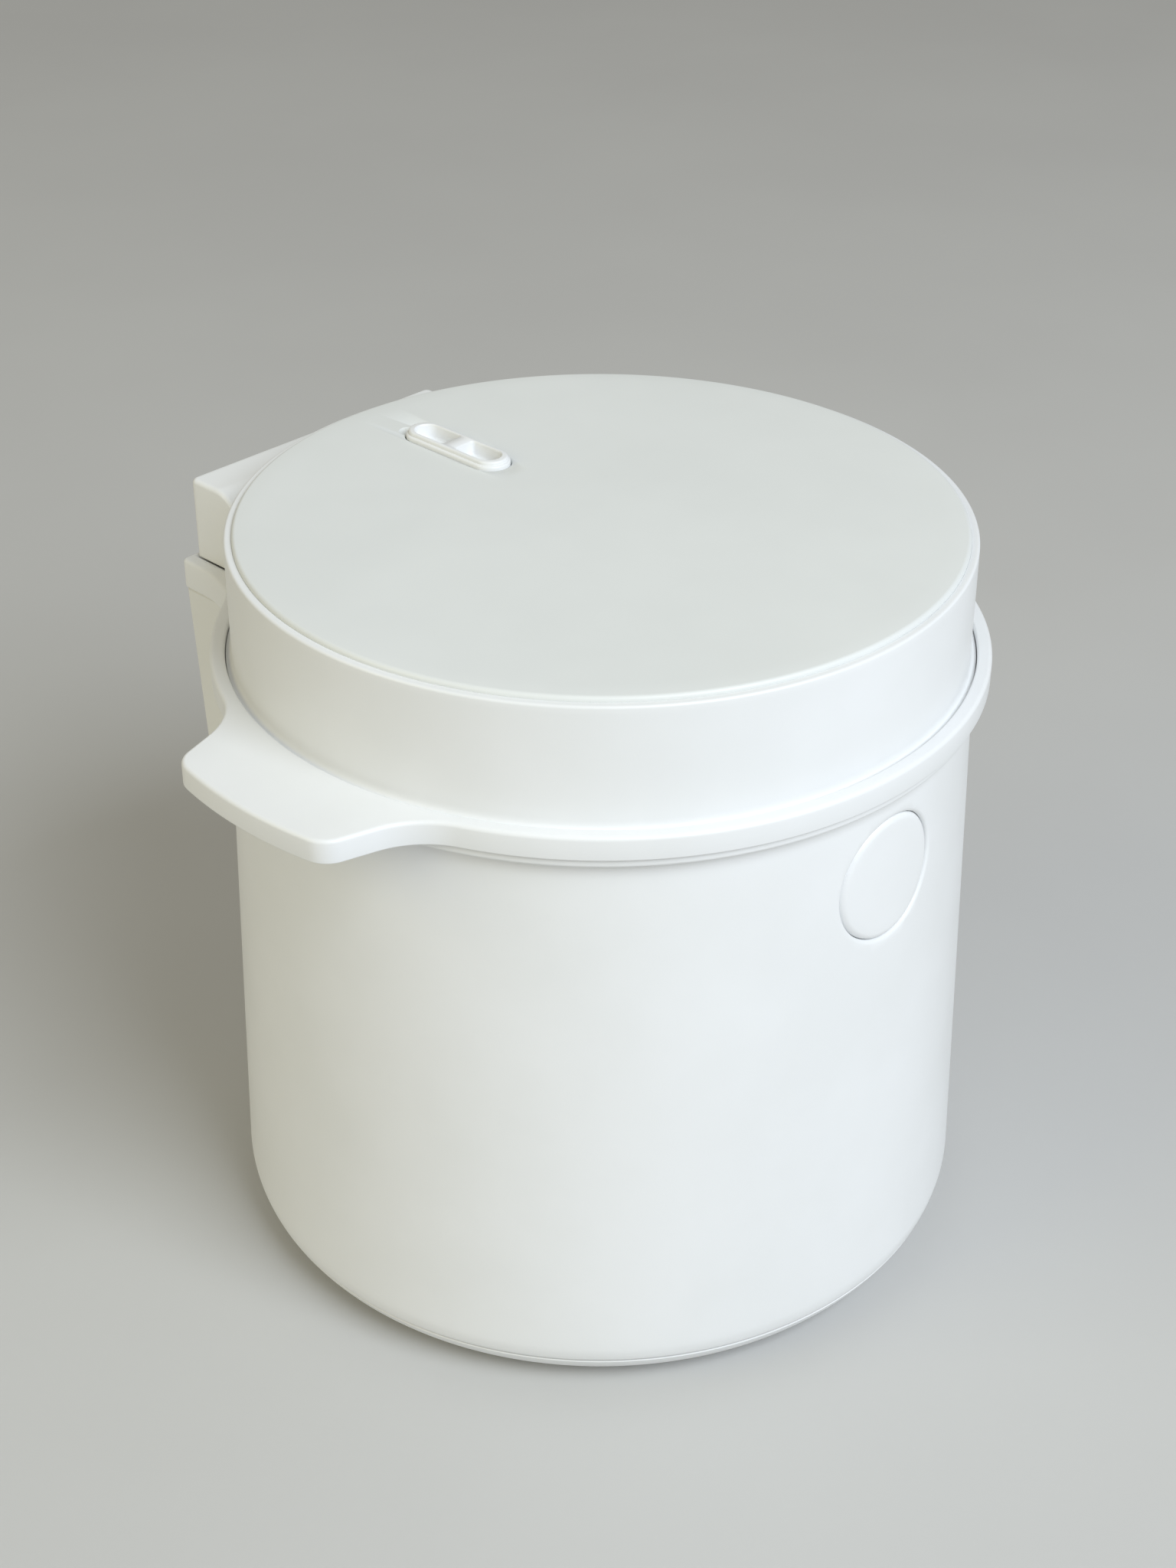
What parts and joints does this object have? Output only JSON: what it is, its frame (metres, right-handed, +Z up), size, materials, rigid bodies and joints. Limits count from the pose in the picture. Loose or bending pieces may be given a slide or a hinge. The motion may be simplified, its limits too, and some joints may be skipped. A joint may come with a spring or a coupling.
{
  "type": "rice cooker",
  "caption": "White round electric rice cooker with a hinged lid, push-button latch, lift-out steam vent cap, ear handles, inner pot, sprung sensor and a pull-out condensate cup.",
  "frame": {"origin": "on the surface that the foot ring stands on, on the body's axis", "axes": "+Z up, the open button faces -Y, the lid hinge is at +Y and the ear handles at -X and +X"},
  "size_m": [0.3, 0.2675, 0.2571],
  "materials": {
    "white_shell": "semi-gloss",
    "white_lid": "semi-gloss",
    "white_inner": "matte",
    "grey_plastic": "matte",
    "black_plastic": "matte",
    "soft_silicone": "matte",
    "foot_rubber": "matte",
    "coated_pot": "satin coating",
    "bare_aluminium": "satin",
    "sheet_steel": "satin",
    "bright_steel": "bright",
    "circuit_board": "satin",
    "brass_pins": "bright",
    "component_case": "satin"
  },
  "bodies": {
    "base": {"base_cover": "white_shell", "foot_ring": "foot_rubber", "base_screws": "bright_steel", "body_shell": "white_shell", "rim_ring": "white_shell", "hinge_pin": "bright_steel", "hinge_spring": "bright_steel", "inner_pot": "coated_pot", "inner_liner": "sheet_steel", "heating_plate": "bare_aluminium", "heating_element": "sheet_steel", "plate_spacers": "sheet_steel", "thermal_fuse": "component_case", "sensor_bracket": "sheet_steel", "sensor_spring": "bright_steel", "power_board": "circuit_board", "relay": "component_case", "transformer": "component_case", "filter_capacitors": "component_case", "control_carrier": "white_inner", "control_board": "circuit_board", "power_inlet": "black_plastic", "inlet_pins": "brass_pins", "button_guide": "white_inner", "latch_bracket": "sheet_steel", "latch_pin": "bright_steel", "latch_spring": "bright_steel"},
    "lid": {"lid_shell": "white_lid", "lid_top_panel": "white_lid", "steam_duct": "white_inner", "vent_seal": "soft_silicone", "lid_frame": "white_inner", "lid_screws": "bright_steel", "inner_lid_plate": "bare_aluminium", "inner_lid_gasket": "soft_silicone", "inner_lid_clip": "grey_plastic", "lid_catch": "grey_plastic"},
    "vent": {"steam_vent_cap": "white_lid"},
    "button": {"open_button": "white_shell"},
    "latch": {"latch_lever": "grey_plastic"},
    "sensor": {"thermal_sensor": "bare_aluminium"},
    "cup": {"drip_cup": "white_inner"}
  },
  "joints": [
    {"name": "lid_open", "type": "hinge", "parent": "base", "child": "lid", "pos_m": [0, 0.129, 0.229], "axis": [-1, 0, 0], "range_deg": [0, 95]},
    {"name": "vent_lift", "type": "slide", "parent": "lid", "child": "vent", "axis": [0, 0, 1], "range_m": [0, 0.025]},
    {"name": "button_press", "type": "slide", "parent": "base", "child": "button", "axis": [0, 1, 0], "range_m": [0, 0.0025], "stiffness_N_per_m": 600, "springref_m": -0.002},
    {"name": "latch_turn", "type": "hinge", "parent": "base", "child": "latch", "pos_m": [0, -0.1105, 0.189], "axis": [1, 0, 0], "range_deg": [0, 9.8]},
    {"name": "sensor_press", "type": "slide", "parent": "base", "child": "sensor", "axis": [0, 0, 1], "range_m": [-0.0025, 0], "stiffness_N_per_m": 400, "springref_m": 0.004, "deforming": ["sensor_spring"]},
    {"name": "cup_slide", "type": "slide", "parent": "base", "child": "cup", "axis": [0, 1, 0], "range_m": [0, 0.04]}
  ],
  "couplings": [
    {"joint": "latch_turn", "follows": "button_press", "rad_per_m": 66.667}
  ]
}
